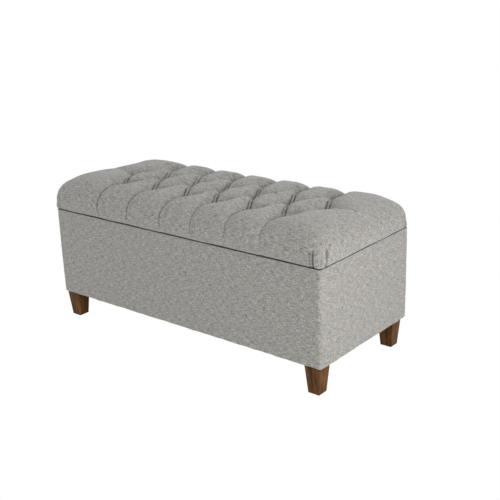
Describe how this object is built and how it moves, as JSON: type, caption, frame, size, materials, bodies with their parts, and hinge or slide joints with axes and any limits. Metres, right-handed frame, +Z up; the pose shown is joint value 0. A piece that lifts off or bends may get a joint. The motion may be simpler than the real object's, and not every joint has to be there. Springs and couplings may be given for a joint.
{
  "type": "storage bench",
  "caption": "Upholstered storage bench: a fabric-covered box on short tapered wooden legs under a padded, diamond-tufted lid that lifts on rear hinges and folding stays.",
  "frame": {"origin": "on the floor, under the middle of the bench", "axes": "+X towards the bench's right end as seen facing its front, +Y towards its hinged back, +Z up"},
  "size_m": [1.081, 0.474, 0.488],
  "materials": {
    "woven": "heathered light grey woven upholstery",
    "foam": "open-cell cushion foam",
    "non_woven": "dark non-woven lining",
    "ply": "bare plywood",
    "walnut": "walnut stain, satin",
    "zinc": "bright zinc plate",
    "rubber": "soft black"
  },
  "bodies": {
    "base": {"front_panel": "ply", "back_panel": "ply", "left_panel": "ply", "right_panel": "ply", "bottom_panel": "ply", "base_cover": "woven", "base_lining": "non_woven", "dust_cover": "non_woven", "leg_front_left": "walnut", "leg_bolt_front_left": "zinc", "corner_block_front_left": "ply", "lid_bumper_front_left": "rubber", "leg_back_left": "walnut", "leg_bolt_back_left": "zinc", "corner_block_back_left": "ply", "lid_bumper_back_left": "rubber", "hinge_base_leaf_left": "zinc", "hinge_pin_left": "zinc", "stay_plate_left": "zinc", "stay_base_rivet_left": "zinc", "stay_plate_screw_1_left": "zinc", "stay_plate_screw_2_left": "zinc", "leg_front_right": "walnut", "leg_bolt_front_right": "zinc", "corner_block_front_right": "ply", "lid_bumper_front_right": "rubber", "leg_back_right": "walnut", "leg_bolt_back_right": "zinc", "corner_block_back_right": "ply", "lid_bumper_back_right": "rubber", "hinge_base_leaf_right": "zinc", "hinge_pin_right": "zinc", "stay_plate_right": "zinc", "stay_base_rivet_right": "zinc", "stay_plate_screw_1_right": "zinc", "stay_plate_screw_2_right": "zinc"},
    "lid": {"lid_cover": "woven", "lid_foam": "foam", "lid_board": "ply", "lid_lining": "non_woven", "hinge_lid_leaf_left": "zinc", "stay_lid_bracket_left": "zinc", "stay_lid_rivet_left": "zinc", "stay_bracket_screw_1_left": "zinc", "stay_bracket_screw_2_left": "zinc", "hinge_lid_leaf_right": "zinc", "stay_lid_bracket_right": "zinc", "stay_lid_rivet_right": "zinc", "stay_bracket_screw_1_right": "zinc", "stay_bracket_screw_2_right": "zinc"},
    "stay_lower_left": {"stay_lower_arm_left": "zinc", "stay_knee_rivet_left": "zinc"},
    "stay_upper_left": {"stay_upper_arm_left": "zinc"},
    "stay_lower_right": {"stay_lower_arm_right": "zinc", "stay_knee_rivet_right": "zinc"},
    "stay_upper_right": {"stay_upper_arm_right": "zinc"}
  },
  "joints": [
    {"name": "lid_hinge", "type": "hinge", "parent": "base", "child": "lid", "pos_m": [0, 0.2334, 0.3795], "axis": [-1, 0, 0], "range_deg": [0, 90]},
    {"name": "stay_lower_left_pivot", "type": "hinge", "parent": "base", "child": "stay_lower_left", "pos_m": [-0.5118, 0.1934, 0.1795], "axis": [-1, 0, 0], "range_deg": [0, 90]},
    {"name": "stay_knee_left", "type": "hinge", "parent": "stay_lower_left", "child": "stay_upper_left", "pos_m": [-0.5118, 0.0834, 0.1635], "axis": [1, 0, 0], "range_deg": [0, 90]},
    {"name": "stay_lower_right_pivot", "type": "hinge", "parent": "base", "child": "stay_lower_right", "pos_m": [0.5118, 0.1934, 0.1795], "axis": [-1, 0, 0], "range_deg": [0, 90]},
    {"name": "stay_knee_right", "type": "hinge", "parent": "stay_lower_right", "child": "stay_upper_right", "pos_m": [0.5118, 0.0834, 0.1635], "axis": [1, 0, 0], "range_deg": [0, 90]}
  ],
  "couplings": [
    {"joint": "stay_lower_left_pivot", "follows": "lid_hinge", "ratio": 1},
    {"joint": "stay_knee_left", "follows": "lid_hinge", "ratio": 1},
    {"joint": "stay_lower_right_pivot", "follows": "lid_hinge", "ratio": 1},
    {"joint": "stay_knee_right", "follows": "lid_hinge", "ratio": 1}
  ]
}
